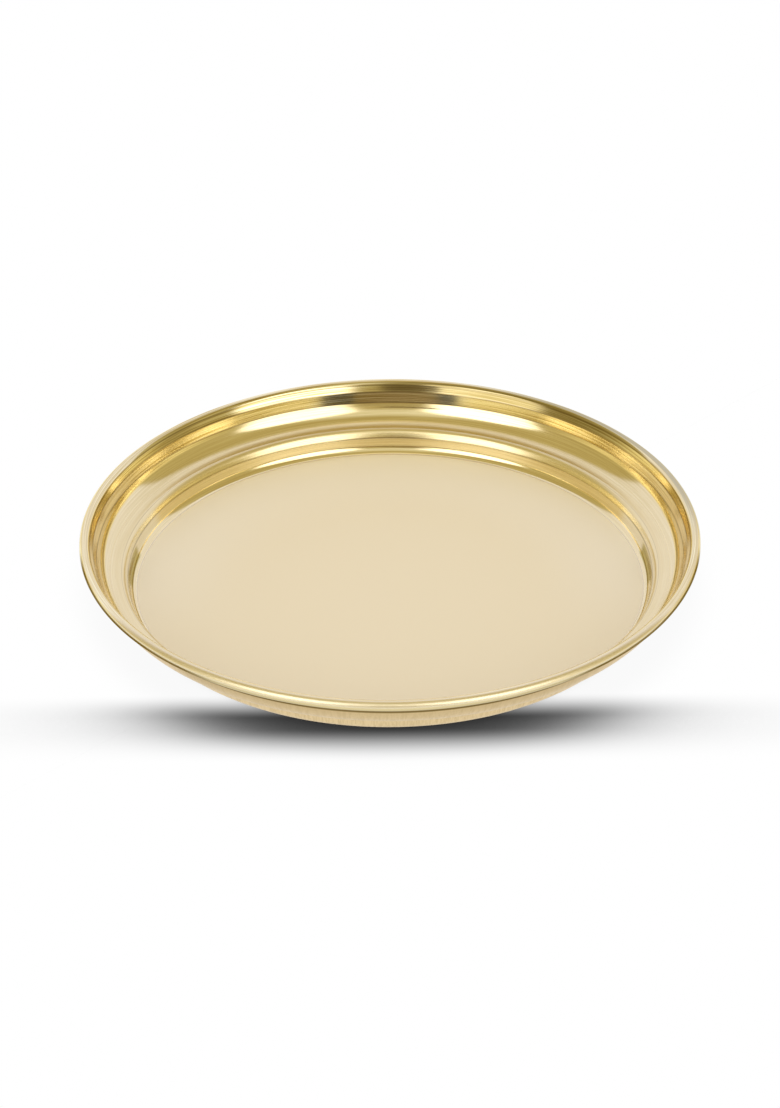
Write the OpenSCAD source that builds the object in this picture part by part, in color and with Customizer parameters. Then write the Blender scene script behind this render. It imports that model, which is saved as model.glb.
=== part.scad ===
// Thali plate: one spun brass sheet with its rim rolled outward over a wire.
// Millimetres. The base stands on z = 0 and the z axis is the plate's axis.

/* [Plate] */
// Diameter over the rolled rim
plate_d = 280; // [250:1:320]
// Height from the table to the top of the rim
plate_h = 28; // [27:0.1:34]
// Thickness of the sheet
sheet = 1.4; // [1:0.1:1.6]

/* [Rim] */
// Diameter of the wire inside the rolled rim
wire_d = 2; // [1.6:0.1:2.4]
// Clearance all round the wire
wire_clearance = 0.05; // [0.02:0.01:0.1]
// Gap that the cut edge of the sheet leaves to the neck
seam_gap = 0.3; // [0.1:0.05:0.6]
// Run of the neck from its foot out to the middle of the wire
neck_run = 3.7; // [3.5:0.1:5]
// Rise of the neck from its foot to the middle of the wire
neck_rise = 1.85; // [1.5:0.05:2.4]

/* [Wall] */
// Run of the collar between the crease and the neck
collar_run = 1.55; // [1:0.05:2.5]
// Rise of the collar between the crease and the neck
collar_rise = 4.8; // [4:0.1:6]
// Run of the wall from the ledge out to the crease
wall_run = 3.3; // [2.5:0.1:4]

/* [Ledge] */
// Flat band that the ledge keeps between its two bends
ledge_flat = 0.5; // [0.1:0.1:6]
// Rise of the ledge above the floor
ledge_rise = 10.05; // [9:0.05:11]
// Run of the shoulder, the steep edge of the ledge
shoulder_run = 1.8; // [1:0.1:2]
// Drop of the shoulder from the ledge to the riser
shoulder_drop = 3.5; // [3.2:0.1:4]
// Run of the riser from the floor out to the shoulder
riser_run = 1.55; // [1:0.05:3]

/* [Bends] */
// Radius where the floor turns up into the riser, on the upper face
toe_r = 4; // [1.5:0.1:4.5]
// Radius between the riser and the shoulder, on the upper face
brink_r = 2; // [1.8:0.1:3]
// Radius between the shoulder and the ledge, on the upper face
shoulder_r = 3; // [2:0.1:4]
// Radius of the cove between the ledge and the wall, on the upper face
cove_r = 9.9; // [3:0.1:10]
// Radius between the wall and the collar, on the upper face
crease_r = 2; // [1:0.1:5]
// Radius between the collar and the neck, on the upper face
neck_r = 2; // [1.8:0.1:3]

/* [Hidden] */
// Parts that can be drawn on their own
// Part to draw, or all of them
// Turn between neighbouring points of a bend, degrees
arc_step = 10;
brass = [0.86, 0.72, 0.42];
steel = [0.62, 0.62, 0.64];
$fn = 180;

// Radii of the rolled rim
hollow_r = wire_d / 2 + wire_clearance;
bead_r = hollow_r + sheet;

// Corners of the upper face as [radius, height], worked out from the rim inwards
rim = [plate_d / 2 - bead_r, plate_h - bead_r];
neck = rim - [neck_run, neck_rise];
crease = neck - [collar_run, collar_rise];
cove = [crease.x - wall_run, sheet + ledge_rise];
ledge_w = ledge_flat + cove_r * tan(heading(cove, crease) / 2)
    + shoulder_r * tan(atan2(shoulder_drop, shoulder_run) / 2);
shoulder = cove - [ledge_w, 0];
brink = shoulder - [shoulder_run, shoulder_drop];
toe = [brink.x - riser_run, sheet];

// The neck runs up to the bead as its tangent, and the sheet follows the bead from there
neck_heading = heading(neck, rim) + asin(bead_r / norm(rim - neck));
neck_end = rim + bead_r * unit(neck_heading + 90);
roll_turn = 360 - acos((hollow_r - seam_gap) / bead_r);

// The upper face as corners from the axis outwards, each inner one with its radius
route = [[0, sheet], toe, brink, shoulder, cove, crease, neck, neck_end];
radii = [toe_r, brink_r, shoulder_r, cove_r, crease_r, neck_r];

function heading(p, q) = atan2(q.y - p.y, q.x - p.x);
function unit(a) = [cos(a), sin(a)];

// Points on an arc that starts at the angle a and turns by the angle t
function arc(middle, r, a, t) =
    let (steps = max(1, ceil(abs(t) / arc_step)))
    [for (i = [0 : steps]) middle + r * unit(a + t * i / steps)];

// Rounded corner b between a and c, at the given depth under the upper face
function bend(a, b, c, r, depth) =
    let (
        start = heading(a, b),
        turn = heading(b, c) - start,
        side = turn < 0 ? -1 : 1,
        middle = b - r * tan(abs(turn) / 2) * unit(start) + side * r * unit(start + 90)
    )
    arc(middle, r + side * depth, start - side * 90, turn);

// One face of the sheet from the axis to the cut edge
function face(depth) = concat(
    [[0, sheet - depth]],
    [for (i = [0 : len(radii) - 1]) each bend(route[i], route[i + 1], route[i + 2], radii[i], depth)],
    arc(rim, bead_r - depth, neck_heading + 90, -roll_turn)
);

function backwards(points) = [for (i = [len(points) - 1 : -1 : 0]) points[i]];

// Floor, riser, shoulder, ledge, cove, collar, neck and the roll round the wire, spun from one sheet
module plate() {
    color(brass)
        rotate_extrude()
            polygon(concat(face(0), backwards(face(sheet))));
}

// Wire ring that stiffens the rim, closed in by the rolled edge
module rim_wire() {
    color(steel)
        rotate_extrude()
            translate(rim)
                circle(d = wire_d);
}

plate();
rim_wire();
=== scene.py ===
import math
from functools import reduce

import bpy
from mathutils import Matrix, Vector


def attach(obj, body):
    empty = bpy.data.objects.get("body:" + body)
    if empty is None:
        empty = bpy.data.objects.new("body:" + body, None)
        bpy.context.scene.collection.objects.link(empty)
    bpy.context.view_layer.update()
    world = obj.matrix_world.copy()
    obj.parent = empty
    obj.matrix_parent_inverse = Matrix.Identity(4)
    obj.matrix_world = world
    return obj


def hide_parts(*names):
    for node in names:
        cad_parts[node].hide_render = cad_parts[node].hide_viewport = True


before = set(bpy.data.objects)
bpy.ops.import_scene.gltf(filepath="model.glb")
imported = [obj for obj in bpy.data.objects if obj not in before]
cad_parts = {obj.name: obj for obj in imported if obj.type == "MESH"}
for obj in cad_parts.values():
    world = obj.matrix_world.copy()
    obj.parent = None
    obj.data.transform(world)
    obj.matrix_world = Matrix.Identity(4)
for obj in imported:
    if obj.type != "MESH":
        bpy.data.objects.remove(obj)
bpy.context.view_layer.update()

MM = 0.001
# Share of full size at which the spun meshes stay inside the box of the CAD mesh
FIT = 0.9998

# The plate's section in millimetres, with the sizes of the CAD model
PLATE_D, PLATE_H, SHEET = 280.0, 28.0, 1.4
WIRE_D, CLEARANCE, SEAM_GAP = 2.0, 0.05, 0.3
NECK_RUN, NECK_RISE, COLLAR_RUN, COLLAR_RISE, WALL_RUN = 3.7, 1.85, 1.55, 4.8, 3.3
LEDGE_FLAT, LEDGE_RISE, SHOULDER_RUN, SHOULDER_DROP, RISER_RUN = 0.5, 10.05, 1.8, 3.5, 1.55
TOE_R, BRINK_R, SHOULDER_R, COVE_R, CREASE_R, NECK_R = 4.0, 2.0, 3.0, 9.9, 2.0, 2.0

# Points round the plate, round the ring of wire and round the wire itself
PLATE_SEGMENTS, RING_SEGMENTS, WIRE_SIDES = 432, 288, 20
# Degrees between the points of a bend on the upper and the lower face, and how much wider the roll's are
UPPER_STEP, LOWER_STEP, ROLL_STEP_SHARE = 6.0, 8.0, 1.5
# Rings that hold the flats flat: radii on the floor in mm, and shares of each flat between two bends
FLOOR_RINGS = (8, 30, 60, 90, 108)
FLAT_SHARES = (0.08, 0.5, 0.92)
# Faces that meet at more than this many degrees keep a sharp edge between them
SHARP = 40


def unit(a):
    return Vector((math.cos(a), math.sin(a)))


def heading(p, q):
    return math.atan2(q.y - p.y, q.x - p.x)


def arc(middle, r, start, turn, step):
    n = max(2, math.ceil(abs(turn) / math.radians(step)))
    return [middle + r * unit(start + turn * i / n) for i in range(n + 1)]


def bend(a, b, c, r, depth, step):
    """Rounded corner b between a and c, at the given depth under the upper face."""
    start = heading(a, b)
    turn = heading(b, c) - start
    side = -1.0 if turn < 0 else 1.0
    middle = b - r * math.tan(abs(turn) / 2) * unit(start) + side * r * unit(start + math.pi / 2)
    return arc(middle, r + side * depth, start - side * math.pi / 2, turn, step)


HOLLOW_R = WIRE_D / 2 + CLEARANCE
BEAD_R = HOLLOW_R + SHEET
RIM = Vector((PLATE_D / 2 - BEAD_R, PLATE_H - BEAD_R))
NECK = RIM - Vector((NECK_RUN, NECK_RISE))
CREASE = NECK - Vector((COLLAR_RUN, COLLAR_RISE))
COVE = Vector((CREASE.x - WALL_RUN, SHEET + LEDGE_RISE))
LEDGE_W = (LEDGE_FLAT + COVE_R * math.tan(heading(COVE, CREASE) / 2)
           + SHOULDER_R * math.tan(math.atan2(SHOULDER_DROP, SHOULDER_RUN) / 2))
SHOULDER = COVE - Vector((LEDGE_W, 0))
BRINK = SHOULDER - Vector((SHOULDER_RUN, SHOULDER_DROP))
TOE = Vector((BRINK.x - RISER_RUN, SHEET))
NECK_HEADING = heading(NECK, RIM) + math.asin(BEAD_R / (RIM - NECK).length)
NECK_END = RIM + BEAD_R * unit(NECK_HEADING + math.pi / 2)
ROLL = 2 * math.pi - math.acos((HOLLOW_R - SEAM_GAP) / BEAD_R)
ROUTE = [Vector((0, SHEET)), TOE, BRINK, SHOULDER, COVE, CREASE, NECK, NECK_END]
RADII = [TOE_R, BRINK_R, SHOULDER_R, COVE_R, CREASE_R, NECK_R]


def between(p, q, *shares):
    return [p + (q - p) * s for s in shares]


def face(depth, step):
    """One face of the sheet from near the axis to the cut edge, with rings that hold the flats flat."""
    points = [Vector((r, SHEET - depth)) for r in FLOOR_RINGS]
    bends = [bend(*ROUTE[i:i + 3], radius, depth, step) for i, radius in enumerate(RADII)]
    bends.append(arc(RIM, BEAD_R - depth, NECK_HEADING + math.pi / 2, -ROLL, ROLL_STEP_SHARE * step))
    for bent in bends:
        points += between(points[-1], bent[0], *FLAT_SHARES) + bent
    return points


def lathe(name, rings, segments, pole=None):
    """Closed mesh spun from rings [(r, z)], in mm. pole closes the first and last ring onto the axis."""
    verts, faces = [], []
    turns = [math.tau * k / segments for k in range(segments)]
    circle = [(math.cos(a), math.sin(a)) for a in turns]
    for r, z in rings:
        verts += [(r * c * FIT * MM, r * s * FIT * MM, z * FIT * MM) for c, s in circle]
    count = len(rings)
    pairs = [(i, i + 1) for i in range(count - 1)]
    if pole is None:
        pairs.append((count - 1, 0))
    for i, j in pairs:
        for k in range(segments):
            n = (k + 1) % segments
            faces.append((i * segments + k, i * segments + n, j * segments + n, j * segments + k))
    if pole is not None:
        first, last = len(verts), len(verts) + 1
        verts += [(0, 0, z * FIT * MM) for z in pole]
        end = (count - 1) * segments
        for k in range(segments):
            n = (k + 1) % segments
            faces.append((k, first, n))
            faces.append((end + k, end + n, last))
    mesh = bpy.data.meshes.new(name)
    mesh.from_pydata(verts, [], faces)
    mesh.validate()
    mesh.update()
    for p in mesh.polygons:
        p.use_smooth = True
    mesh.set_sharp_from_angle(angle=math.radians(SHARP))
    obj = bpy.data.objects.new(name, mesh)
    bpy.context.scene.collection.objects.link(obj)
    return obj


def spun_plate():
    upper, lower = face(0.0, UPPER_STEP), face(SHEET, LOWER_STEP)
    cut_edge = between(upper[-1], lower[-1], 0.5)
    section = [(p.x, p.y) for p in upper + cut_edge + list(reversed(lower))]
    return lathe("plate_spun", section, PLATE_SEGMENTS, pole=(SHEET, 0.0))


def drawn_wire():
    turns = [math.tau * i / WIRE_SIDES for i in range(WIRE_SIDES)]
    section = [(RIM.x + WIRE_D / 2 * math.cos(a), RIM.y + WIRE_D / 2 * math.sin(a)) for a in turns]
    return lathe("rim_wire_drawn", section, RING_SEGMENTS)


class Nodes:
    """Short names for building a node tree."""

    # Sockets of the mix node that hold colours
    MIX_A, MIX_B, MIX_RESULT = 6, 7, 2

    def __init__(self, tree):
        self.tree = tree
        tree.nodes.clear()

    def add(self, kind, **settings):
        node = self.tree.nodes.new(kind)
        for name, value in settings.items():
            setattr(node, name, value)
        return node

    def put(self, socket, value):
        """Link the socket to an output, or give it a constant. A tuple of three is a colour."""
        if isinstance(value, bpy.types.NodeSocket):
            self.tree.links.new(value, socket)
        else:
            socket.default_value = (*value, 1.0) if isinstance(value, tuple) else value

    def made(self, kind, *values, **settings):
        """First output of a new node, with its inputs filled in their order."""
        node = self.add(kind, **settings)
        for socket, value in zip(node.inputs, values):
            self.put(socket, value)
        return node.outputs[0]

    def named(self, kind, values):
        """First output of a new node, with its inputs filled by their names."""
        node = self.add(kind)
        for name, value in values.items():
            self.put(node.inputs[name], value)
        return node.outputs[0]

    def math(self, operation, *values):
        return self.made("ShaderNodeMath", *values, operation=operation)

    def times(self, *values):
        return reduce(lambda a, b: self.math("MULTIPLY", a, b), values)

    def plus(self, *values):
        return reduce(lambda a, b: self.math("ADD", a, b), values)

    def most(self, *values):
        return reduce(lambda a, b: self.math("MAXIMUM", a, b), values)

    def minus(self, a, b):
        return self.math("SUBTRACT", a, b)

    def ramp(self, value, start, full, at_start=0.0, at_full=1.0):
        """Smooth step from at_start, where the value is start, to at_full, where it is full."""
        return self.made("ShaderNodeMapRange", value, start, full, at_start, at_full,
                         interpolation_type="SMOOTHSTEP", clamp=True)

    def window(self, value, low, high, soft):
        """1 between low and high, with ends that fade over soft to each side."""
        up = self.ramp(value, low - soft, low + soft)
        down = self.ramp(value, high - soft, high + soft, 1.0, 0.0)
        return self.times(up, down)

    def mix(self, factor, a, b):
        node = self.add("ShaderNodeMix", data_type="RGBA")
        for i, value in ((0, factor), (self.MIX_A, a), (self.MIX_B, b)):
            self.put(node.inputs[i], value)
        return node.outputs[self.MIX_RESULT]

    def noise(self, vector, scale, detail, roughness):
        return self.named("ShaderNodeTexNoise", {
            "Vector": vector, "Scale": scale, "Detail": detail, "Roughness": roughness})

    def combine(self, x, y, z):
        return self.made("ShaderNodeCombineXYZ", x, y, z)

    def split(self, vector):
        node = self.add("ShaderNodeSeparateXYZ")
        self.put(node.inputs[0], vector)
        return node.outputs


def material(name):
    m = bpy.data.materials.new(name)
    m.use_nodes = True
    return m, Nodes(m.node_tree)


WHITE, BLACK = (1.0, 1.0, 1.0), (0.0, 0.0, 0.0)

# Base colours of the brass
BRASS_DEEP, BRASS_PALE = (0.85, 0.715, 0.395), (0.88, 0.745, 0.425)
SATIN_LOW, SATIN_HIGH, SATIN_STROKE = (0.93, 0.73, 0.42), (0.72, 0.545, 0.28), (0.62, 0.46, 0.22)
# The riser's pale colour and its olive stripe are painted reflection
PALE_REFLECTION, OLIVE_REFLECTION = (0.93, 0.88, 0.73), (0.52, 0.44, 0.14)
# The spun turns are partly marks of spinning and partly painted shade and highlight; the brown is painted
# dark reflection
SPUN_DULL_AND_PAINTED_SHADE, SPUN_BRIGHT_AND_PAINTED_HIGHLIGHT, PAINTED_REFLECTION_BROWN = (0.58, 0.44, 0.15), (0.98, 0.89, 0.55), (0.33, 0.25, 0.085)
# The bead's darker right is painted shade and its pale front a painted highlight
BEAD_PAINTED_SHADE, BEAD_PAINTED_HIGHLIGHT = (0.45, 0.40, 0.24), (0.86, 0.75, 0.50)
# Dark brown of painted shade in the creases and under the bead, and the tint it gives the reflection under
# the bead
PAINTED_SHADE_BROWN, PAINTED_SHADE_TINT = (0.20, 0.13, 0.035), (0.45, 0.36, 0.20)
# The floor's paler colour toward its back is painted light
FLOOR_FRONT, FLOOR_BACK_PAINTED_LIGHT = (0.90, 0.79, 0.545), (0.935, 0.845, 0.635)

# Where each look lies. For a ramp: where it starts and where it is full, and its strength at both
# where that isn't 0 and 1. For a window: its two ends, and how far each end fades to both sides.
# R is the radius on the plate and Z the height, in mm
FLOOR_END_R, FLOOR_PALE_R = (TOE.x - 1.48, TOE.x - 3.48), (60.0, 108.0)
PALE_REFLECTION_R = (TOE.x - 2.78, SHOULDER.x + 0.77, 0.4)
STRIPE_R = (TOE.x - 0.68, BRINK.x - 0.23, 0.2)
LEDGE_R = (BRINK.x + 0.07, COVE.x - 2.0, 1.5)
SPUN_R = (CREASE.x - 0.4, CREASE.x + 0.2, 0.3, 1.0)
BROWN_NECK_R, BROWN_BEAD_R = (NECK.x + 0.15, RIM.x - 1.25, 0.25), (RIM.x - 1.65, RIM.x - 0.45, 0.3)
DULL_R = (RIM.x - 1.35, RIM.x - 0.75, 0.0, 0.75)
FRONT_BEAD_R, EDGE_R = (RIM.x - 0.35, RIM.x + 0.65), (RIM.x + 0.45, RIM.x + 0.85)
SATIN_Z, SATIN_END_Z = (RIM.y - 13.55, RIM.y - 5.05), (RIM.y - 3.75, RIM.y - 4.35)
UNDER_Z, BELOW_Z = (RIM.y - 4.35, RIM.y - 3.55), (RIM.y - 6.2, RIM.y - 3.55, 0.4)
# BACK runs from -1 at the plate's front to 1 at its back, and RIGHT from -1 at its left to 1 at its right
FLOOR_PALE_BACK = (-0.6, 0.3)
PALE_REFLECTION_BACK, STRIPE_BACK = (0.47, 0.40), (-0.015, 0.22, 0.02)
SPUN_BACK, BROWN_BACK = (0.2, 0.6, 0.35, 1.0), (0.45, 0.75)
DULL_BACK, FRONT_BEAD_BACK, EDGE_BACK = (-0.1, 0.3), (-0.35, -0.65), (-0.82, -0.13, 0.08)
BROWN_RIGHT, BROWN_LEFT, DULL_RIGHT = (-0.12, 0.05, 0.2, 1.0), (-0.6, -0.75, 0.0, 0.7), (0.1, 0.7)
# UP runs from -1 on faces that look down to 1 on faces that look up
INSIDE_UP, PALE_REFLECTION_UP = (-0.05, 0.05), (0.62, 0.48)
UNDER_UP, OUTER_UP, BELOW_UP = (-0.58, -0.80), (0.15, -0.15, 0.0, 0.25), (0.0, -0.1)
# The painted dark line on the bead's outer edge keeps to the outline that the camera sees: up, less this
# share of back
EDGE_LEAN_SHARE, EDGE_LEAN = 1.1, (0.92, 0.74)
# Painted lines of shade in the creases: radius, half width and depth of the shade
CREASE_SHADE_LINES = ((NECK.x + 1.45, 0.30, 0.70), (NECK.x, 0.28, 0.75), (CREASE.x, 0.24, 0.65),
           (SHOULDER.x + 0.97, 0.24, 0.35), (BRINK.x + 0.07, 0.24, 0.60), (TOE.x - 2.48, 0.25, 0.55))
# The browner turn on the bead, as a share of the neck's painted brown reflection
BROWN_BEAD_SHARE = 0.25

# Noise. Marks are drawn out along the turn: their fineness across it and around it comes first
RINGS = dict(across=1.0, around=1.2, scale=1.6, detail=4.0, roughness=0.6)
FINE = dict(across=6.0, around=9.0, scale=1.0, detail=3.0, roughness=0.6)
TURNS = dict(across=2.0, around=2.6, scale=1.0, detail=3.0, roughness=0.65)
PATCHES = dict(scale=28.0, detail=3.0, roughness=0.55)
GRAIN = dict(scale=2600.0, detail=2.0, roughness=0.6)
STROKES = dict(scale=1.0, detail=3.0, roughness=0.7)
STROKES_AROUND, STROKES_RISE = 120.0, 0.2
# How much of the height counts along the section
RISE_SHARE = 0.8
# Ramps from the noise into each look
BRASS_PATCHES, CREASE_PATCHES, UNDER_RINGS = (0.3, 0.7), (0.25, 0.6, 0.55, 1.0), (0.2, 0.8, 0.8, 1.0)
DULL_TURNS, BRIGHT_TURNS, BROWN_TURNS = (0.53, 0.40), (0.53, 0.66), (0.65, 0.35, 0.6, 1.0)
STROKED = (0.35, 0.62, 0.4, 0.0)

# Roughness of the polished brass, what each zone adds to it, how far the rings change it, and the least
ROUGH, FLOOR_ROUGH, LEDGE_ROUGH, SATIN_ROUGH, FRONT_BEAD_ROUGH = 0.12, 0.33, 0.17, 0.26, 0.25
RINGS_ROUGH, LEAST_ROUGH = 0.08, 0.04
# How metallic the matt floor is
FLOOR_METAL = 0.25
# Bump: its strength, its depth in metres, and the heights of the marks
BUMP, BUMP_DEPTH = 0.10, 0.1 * MM
RINGS_HEIGHT, FINE_HEIGHT, GRAIN_HEIGHT, SATIN_GRAIN_HEIGHT = 0.5, 0.35, 0.05, 0.5


class Spot:
    """A point's place: radius r and height z in mm, and its turn round the axis."""

    def __init__(self, nt):
        self.place = nt.add("ShaderNodeTexCoord").outputs["Object"]
        x, y, z = nt.split(self.place)
        self.r = nt.times(nt.math("SQRT", nt.plus(nt.times(x, x), nt.times(y, y))), 1 / MM)
        self.turn = nt.math("ARCTAN2", y, x)
        self.z = nt.times(z, 1 / MM)


class PlateSpot(Spot):
    """Adds right, back and up, as told above, the zones of the finish and the marks in it."""

    def __init__(self, nt):
        super().__init__(nt)
        self.right, self.back = nt.math("COSINE", self.turn), nt.math("SINE", self.turn)
        self.up = nt.split(nt.add("ShaderNodeNewGeometry").outputs["True Normal"])[2]
        self.inside = nt.ramp(self.up, *INSIDE_UP)
        self.floor = nt.times(nt.ramp(self.r, *FLOOR_END_R), self.inside)
        self.ledge = nt.times(nt.window(self.r, *LEDGE_R), self.inside)
        self.outside = nt.times(nt.minus(1.0, self.inside), nt.ramp(self.z, *SATIN_END_Z))
        self.along = nt.plus(self.r, nt.times(self.z, RISE_SHARE))
        self.rings, self.fine, self.turns = [self.marks(nt, **kind) for kind in (RINGS, FINE, TURNS)]
        self.patches, self.grain = nt.noise(self.place, **PATCHES), nt.noise(self.place, **GRAIN)

    def marks(self, nt, across, around, **kind):
        """Noise that is drawn out along the turn, as marks of spinning and buffing are."""
        right, back = nt.times(self.right, around), nt.times(self.back, around)
        return nt.noise(nt.combine(nt.times(self.along, across), right, back), **kind)


def satin(nt, at, colour):
    """Satin outside: darker near the rim, with fine upright strokes."""
    shade = nt.mix(nt.ramp(at.z, *SATIN_Z), SATIN_LOW, SATIN_HIGH)
    right, back = nt.times(at.right, STROKES_AROUND), nt.times(at.back, STROKES_AROUND)
    strokes = nt.noise(nt.combine(right, back, nt.times(at.z, STROKES_RISE)), **STROKES)
    shade = nt.mix(nt.ramp(strokes, *STROKED), shade, SATIN_STROKE)
    return nt.mix(at.outside, colour, shade)


def riser_painted_reflection(nt, at, colour):
    """Riser and shoulder: painted reflection, pale at the sides, but for a short olive stripe right and
    left.
    """
    painted_pale = nt.times(nt.window(at.r, *PALE_REFLECTION_R), nt.ramp(at.back, *PALE_REFLECTION_BACK))
    steep = nt.times(nt.ramp(at.up, *PALE_REFLECTION_UP), at.inside)
    colour = nt.mix(nt.times(painted_pale, steep), colour, PALE_REFLECTION)
    stripe = nt.times(nt.window(at.back, *STRIPE_BACK), nt.window(at.r, *STRIPE_R), at.inside)
    return nt.mix(stripe, colour, OLIVE_REFLECTION)


def spun_and_painted_reflection(nt, at, colour):
    """Collar and neck: duller and brighter turns that are partly marks of spinning and partly painted shade
    and highlight, the dull ones strongest at the back, and a browner neck at the back that is painted dark
    reflection.
    """
    zone = nt.times(nt.ramp(at.r, *SPUN_R), at.inside)
    dull = nt.times(nt.ramp(at.turns, *DULL_TURNS), nt.ramp(at.back, *SPUN_BACK))
    colour = nt.mix(nt.times(zone, dull), colour, SPUN_DULL_AND_PAINTED_SHADE)
    colour = nt.mix(nt.times(zone, nt.ramp(at.turns, *BRIGHT_TURNS)), colour, SPUN_BRIGHT_AND_PAINTED_HIGHLIGHT)
    sides = nt.most(nt.ramp(at.right, *BROWN_RIGHT), nt.ramp(at.right, *BROWN_LEFT))
    neck = nt.times(nt.window(at.r, *BROWN_NECK_R), nt.ramp(at.turns, *BROWN_TURNS), sides)
    bead = nt.times(nt.window(at.r, *BROWN_BEAD_R), BROWN_BEAD_SHARE)
    painted_brown = nt.times(nt.most(neck, bead), nt.ramp(at.back, *BROWN_BACK), at.inside)
    return nt.mix(painted_brown, colour, PAINTED_REFLECTION_BROWN)


def bead_right_painted_shade(nt, at):
    """Mask of the bead at the right, which is painted darker as shade."""
    right = nt.times(nt.ramp(at.r, *DULL_R), nt.ramp(at.right, *DULL_RIGHT))
    return nt.times(right, nt.ramp(at.back, *DULL_BACK), at.inside)


def bead_front_painted_highlight(nt, at):
    """Mask of the bead at the front, which is painted pale as a highlight."""
    return nt.times(nt.ramp(at.r, *FRONT_BEAD_R), nt.ramp(at.back, *FRONT_BEAD_BACK), at.inside)


def crease_painted_shade(nt, at):
    """Mask of the shade that is painted in the creases."""
    lines = [nt.ramp(nt.math("ABSOLUTE", nt.minus(at.r, place)), 0.0, half, depth, 0.0)
             for place, half, depth in CREASE_SHADE_LINES]
    return nt.times(nt.most(*lines), at.inside, nt.ramp(at.patches, *CREASE_PATCHES))


def under_bead_painted_shade(nt, at):
    """Mask of the shade that is painted under the bead and, at the front sides, along its outer edge."""
    under_shade = nt.most(nt.ramp(at.up, *UNDER_UP), nt.ramp(at.up, *OUTER_UP))
    under_shade = nt.times(nt.ramp(at.z, *UNDER_Z), under_shade)
    below = nt.times(nt.window(at.z, *BELOW_Z), nt.ramp(at.up, *BELOW_UP))
    lean = nt.minus(at.up, nt.times(at.back, EDGE_LEAN_SHARE))
    edge = nt.times(nt.ramp(at.r, *EDGE_R), nt.ramp(lean, *EDGE_LEAN), nt.window(at.back, *EDGE_BACK))
    return nt.times(nt.most(under_shade, below, edge), nt.ramp(at.rings, *UNDER_RINGS))


def brass_roughness(nt, at, front_highlight):
    rough = ROUGH
    for zone, more in ((at.floor, FLOOR_ROUGH), (at.ledge, LEDGE_ROUGH), (at.outside, SATIN_ROUGH),
                       (front_highlight, FRONT_BEAD_ROUGH), (nt.minus(at.rings, 0.5), RINGS_ROUGH)):
        rough = nt.plus(rough, nt.times(zone, more))
    return nt.most(rough, LEAST_ROUGH)


def brass_bump(nt, at):
    grain = nt.times(at.grain, nt.plus(GRAIN_HEIGHT, nt.times(at.outside, SATIN_GRAIN_HEIGHT)))
    height = nt.plus(nt.times(at.rings, RINGS_HEIGHT), nt.times(at.fine, FINE_HEIGHT), grain)
    return nt.named("ShaderNodeBump", {"Strength": BUMP, "Distance": BUMP_DEPTH, "Height": height})


def brass():
    """Spun brass: matt floor, satin ledge and outside, the rest polished, with painted shade, highlights
    and reflections.
    """
    m, nt = material("plate_brass")
    at = PlateSpot(nt)
    front_highlight, under_shade = bead_front_painted_highlight(nt, at), under_bead_painted_shade(nt, at)
    colour = nt.mix(nt.ramp(at.patches, *BRASS_PATCHES), BRASS_DEEP, BRASS_PALE)
    for look in (satin, riser_painted_reflection, spun_and_painted_reflection):
        colour = look(nt, at, colour)
    # Painted shade on the bead's right, a painted highlight on its front, and painted shade in the creases
    # and under the bead
    for mask, paint in ((bead_right_painted_shade(nt, at), BEAD_PAINTED_SHADE), (front_highlight, BEAD_PAINTED_HIGHLIGHT),
                        (nt.most(crease_painted_shade(nt, at), under_shade), PAINTED_SHADE_BROWN)):
        colour = nt.mix(mask, colour, paint)
    # The floor is painted paler toward its back edge: painted light against the darker reflection there
    painted_pale = nt.times(nt.ramp(at.r, *FLOOR_PALE_R), nt.ramp(at.back, *FLOOR_PALE_BACK))
    shader = nt.named("ShaderNodeBsdfPrincipled", {
        "Base Color": nt.mix(at.floor, colour, nt.mix(painted_pale, FLOOR_FRONT, FLOOR_BACK_PAINTED_LIGHT)),
        "Metallic": nt.minus(1.0, nt.times(at.floor, 1 - FLOOR_METAL)),
        # the reflection under the bead is tinted as painted shade
        "Specular Tint": nt.mix(under_shade, WHITE, PAINTED_SHADE_TINT),
        "Roughness": brass_roughness(nt, at, front_highlight),
        "Normal": brass_bump(nt, at)})
    nt.put(nt.add("ShaderNodeOutputMaterial").inputs[0], shader)
    return m


# Drawn steel: fineness of the marks across and along the wire, the noise, its two colours and its roughness
DRAWN_ACROSS, DRAWN_ALONG = 9.0, 3.0
DRAWN = dict(scale=1.0, detail=3.0, roughness=0.5)
STEEL_DEEP, STEEL_PALE = (0.46, 0.45, 0.43), (0.62, 0.61, 0.60)
STEEL_ROUGH = (0.2, 0.8, 0.28, 0.45)


def steel_wire():
    m, nt = material("wire_steel")
    at = Spot(nt)
    across, rise = nt.times(at.r, DRAWN_ACROSS), nt.times(at.z, DRAWN_ACROSS)
    drawn = nt.noise(nt.combine(across, nt.times(at.turn, DRAWN_ALONG), rise), **DRAWN)
    shader = nt.named("ShaderNodeBsdfPrincipled", {
        "Base Color": nt.mix(drawn, STEEL_DEEP, STEEL_PALE),
        "Metallic": 1.0,
        "Roughness": nt.ramp(drawn, *STEEL_ROUGH)})
    nt.put(nt.add("ShaderNodeOutputMaterial").inputs[0], shader)
    return m


plate, wire = spun_plate(), drawn_wire()
plate.data.materials.append(brass())
wire.data.materials.append(steel_wire())
for obj, node, slot in ((plate, "plate", "plate_brass"), (wire, "rim_wire", "wire_steel")):
    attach(obj, "root")
    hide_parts(node)

# Studio floor, in metres: its size, how far it lies under the plate, how far the plate shades it,
# and the two edges of the band at the front in which the shade shows
FLOOR_SIZE, FLOOR_DROP, SHADE_REACH = 60.0, 0.02 * MM, 0.15
BAND_FRONT, BAND_BACK = (-0.144, -0.116), (-0.088, -0.108)
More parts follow.
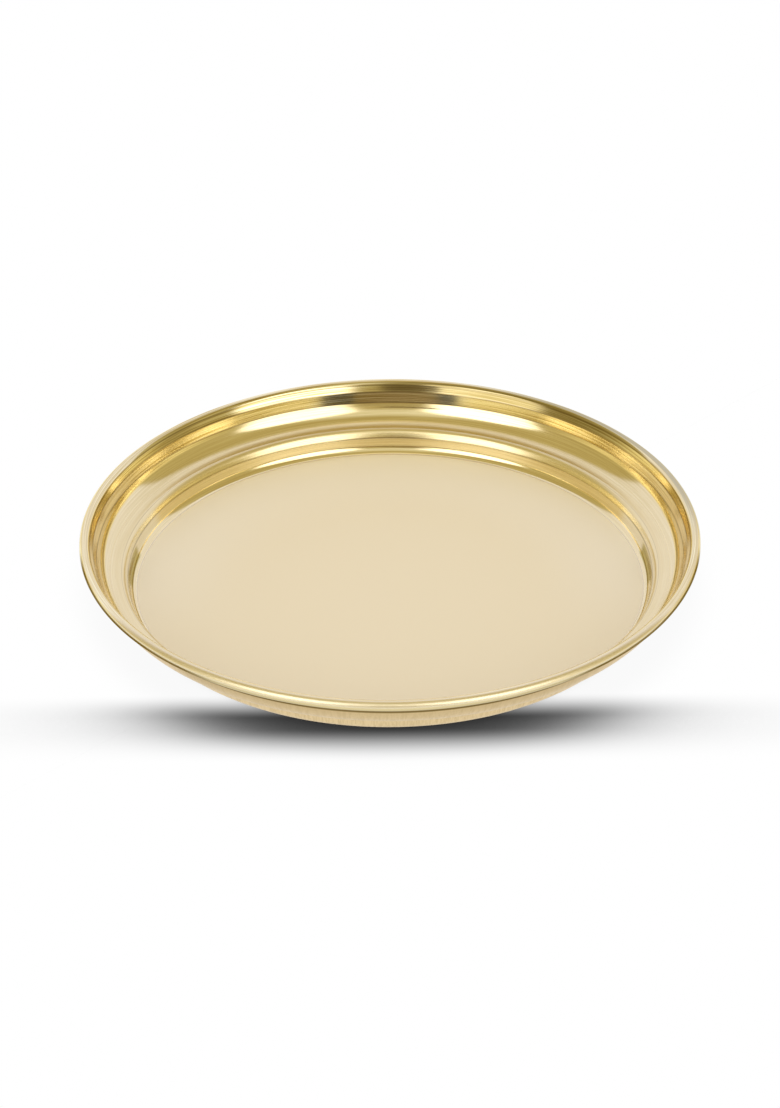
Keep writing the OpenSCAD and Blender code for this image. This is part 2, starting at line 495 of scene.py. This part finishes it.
# Shade in the band by the share of the sky that the plate leaves: its power and its least light
SHADE_POWER, SHADE_LEAST = 2.15, 0.02
SHADE_SAMPLES = 24
# Beside the band only a hint shows: a faint one all round, and a dark one close under the plate
HINT_FAINT, HINT_CLOSE = (0.30, 0.75, 0.95, 1.0), (0.0, 0.15, 0.35, 1.0)
# Least light of the floor as the brass mirrors it, and the floor's grey as it lights the plate
MIRRORED_LEAST, FLOOR_GREY = 0.85, (0.8, 0.8, 0.8)


def studio_floor():
    """Floor that is white to the eye, and darker at the front where the plate shades it."""
    bpy.ops.mesh.primitive_plane_add(size=FLOOR_SIZE, location=(0, 0, -FLOOR_DROP))
    floor = bpy.context.object
    floor.name = "studio_floor"
    m, nt = material("studio_floor")
    path = nt.add("ShaderNodeLightPath")
    mirrored = path.outputs["Is Glossy Ray"]
    near = nt.add("ShaderNodeAmbientOcclusion", samples=SHADE_SAMPLES)
    nt.put(near.inputs["Distance"], SHADE_REACH)
    sky = near.outputs["AO"]
    y = nt.split(nt.add("ShaderNodeTexCoord").outputs["Object"])[1]
    band = nt.times(nt.ramp(y, *BAND_FRONT), nt.ramp(y, *BAND_BACK))
    soft = nt.math("MULTIPLY_ADD", nt.math("POWER", sky, SHADE_POWER), 1 - SHADE_LEAST, SHADE_LEAST)
    hint = nt.times(nt.ramp(sky, *HINT_FAINT), nt.ramp(sky, *HINT_CLOSE))
    shade = nt.plus(nt.times(band, soft), nt.times(nt.minus(1.0, band), hint))
    shade = nt.most(shade, nt.times(mirrored, MIRRORED_LEAST))
    glow = nt.named("ShaderNodeEmission", {"Color": nt.mix(shade, BLACK, WHITE)})
    diffuse = nt.named("ShaderNodeBsdfDiffuse", {"Color": FLOOR_GREY})
    seen = nt.most(path.outputs["Is Camera Ray"], mirrored)
    both = nt.made("ShaderNodeMixShader", seen, diffuse, glow)
    nt.put(nt.add("ShaderNodeOutputMaterial").inputs[0], both)
    floor.data.materials.append(m)
    return floor


floor = studio_floor()

# The studio, painted by direction. SIDE is the angle from the front, to the right, and UP the angle
# from the floor, both in degrees. Ramps and windows are as told above
DEGREES = 180 / math.pi
ROOM, ROOM_LIT, ROOM_FLOOR = (0.55, 0.47, 0.24), (0.88, 0.85, 0.74), (0.95, 0.83, 0.47)
BACKDROP, BACKDROP_TOP, SOFTBOX = (0.93, 0.93, 1.10), (0.88, 0.76, 0.52), (2.3, 2.3, 2.4)
GAP, STAND, STAND_HEAD = (0.10, 0.10, 0.10), (0.30, 0.235, 0.142), (0.24, 0.19, 0.105)
LIT_SIDE, LIT_UP = (60.0, 20.0), (36.0, 68.0, 12.0)
# How far back a unit direction has to point to meet the backdrop, by how far it points to the side
EDGE_RISE, EDGE_FALL, EDGE_FADE = (0.0, 0.35, 0.15, 0.42), (0.5, 0.95, 0.0, -0.11), (-0.02, 0.02)
BACKDROP_TOP_UP = (55.0, 78.0)
# Softboxes: middle and half size to the side and up, roundness of the corners, and how their edge fades
BOX_SIDE, BOX_UP, BOX_ROUND, BOX_FADE = (37.0, 23.0), (29.0, 23.5), 2.4, (1.4, 0.6)
ROOM_FLOOR_SIDE, ROOM_FLOOR_UP = (24.0, 32.0), (11.0, 5.0)
GAP_SIDE, GAP_UP = (12.0, 25.0, 1.5), (10.0, 7.0)
STAND_SIDE, STAND_UP = (-14.0, 12.0, 1.5), (19.0, 13.0)
FOOT_SIDE, FOOT_UP = (-18.0, 12.0, 1.5), (8.0, 5.0)
HEAD_SIDE, HEAD_UP = (-19.0, 3.0, 1.5), (21.0, 27.0, 1.5)


def studio_light():
    """What the brass mirrors. The camera sees white."""
    world = bpy.data.worlds.new("studio")
    bpy.context.scene.world = world
    world.use_nodes = True
    nt = Nodes(world.node_tree)
    x, y, z = nt.split(nt.add("ShaderNodeTexCoord").outputs["Generated"])
    side = nt.times(nt.math("ARCTAN2", x, nt.times(y, -1.0)), DEGREES)
    aside = nt.math("ABSOLUTE", side)
    up = nt.times(nt.math("ARCSINE", z), DEGREES)
    # the room, brighter over the middle of the front
    lit = nt.times(nt.ramp(aside, *LIT_SIDE), nt.window(up, *LIT_UP))
    colour = nt.mix(lit, ROOM, ROOM_LIT)
    # pale backdrop behind the plate, a little warmer overhead
    wide = nt.math("ABSOLUTE", x)
    edge = nt.plus(nt.ramp(wide, *EDGE_RISE), nt.ramp(wide, *EDGE_FALL))
    backdrop = nt.mix(nt.ramp(up, *BACKDROP_TOP_UP), BACKDROP, BACKDROP_TOP)
    colour = nt.mix(nt.ramp(nt.minus(y, edge), *EDGE_FADE), colour, backdrop)
    # two tall softboxes, one on each side of the camera
    reach = [nt.math("DIVIDE", nt.math("ABSOLUTE", nt.minus(angle, middle)), half)
             for angle, (middle, half) in ((aside, BOX_SIDE), (up, BOX_UP))]
    box = nt.plus(*[nt.math("POWER", share, BOX_ROUND) for share in reach])
    colour = nt.mix(nt.ramp(box, *BOX_FADE), colour, SOFTBOX)
    # the lit floor of the room beyond them
    low = nt.times(nt.ramp(up, *ROOM_FLOOR_UP), nt.ramp(aside, *ROOM_FLOOR_SIDE))
    colour = nt.mix(low, colour, ROOM_FLOOR)
    # the dark gaps at their feet, and the dark stand between them with its foot and its head
    for angle, sides, top, paint in ((aside, GAP_SIDE, GAP_UP, GAP), (side, STAND_SIDE, STAND_UP, STAND),
                                     (side, FOOT_SIDE, FOOT_UP, STAND)):
        colour = nt.mix(nt.times(nt.window(angle, *sides), nt.ramp(up, *top)), colour, paint)
    head = nt.times(nt.window(side, *HEAD_SIDE), nt.window(up, *HEAD_UP))
    colour = nt.mix(head, colour, STAND_HEAD)
    shown = nt.mix(nt.add("ShaderNodeLightPath").outputs["Is Camera Ray"], colour, WHITE)
    nt.put(nt.add("ShaderNodeOutputWorld").inputs[0], nt.named("ShaderNodeBackground", {"Color": shown}))


studio_light()

# Camera: distance in mm, angle above the floor in degrees, scale of the photo at the plate,
# how far the view's middle lies under the rim's in mm, roll in degrees, sensor in mm and the photo's height
DISTANCE, ELEVATION, PX_PER_MM, DROP, ROLL_DEG = 3500.0, 31.85, 2.2195, 6.44, -0.35
SENSOR, PHOTO_PX = 36.0, 1108.0


def photo_camera():
    """Camera at the photo's viewing angle."""
    e = math.radians(ELEVATION)
    cam_data = bpy.data.cameras.new("camera")
    cam = bpy.data.objects.new("camera", cam_data)
    bpy.context.scene.collection.objects.link(cam)
    bpy.context.scene.camera = cam
    cam_data.sensor_width = SENSOR
    cam_data.lens = PX_PER_MM * DISTANCE * SENSOR / PHOTO_PX
    up = Vector((0, math.sin(e), math.cos(e)))
    away = Vector((0, -math.cos(e), math.sin(e)))
    target = Vector((0, 0, RIM.y * MM)) - up * DROP * MM
    axes = Matrix(((1, 0, 0), up, away)).transposed()
    roll = Matrix.Rotation(math.radians(ROLL_DEG), 3, "Z")
    cam.matrix_world = Matrix.Translation(target + away * DISTANCE * MM) @ (axes @ roll).to_4x4()


photo_camera()

bpy.context.scene.view_settings.view_transform = "Standard"
bpy.context.view_layer.update()
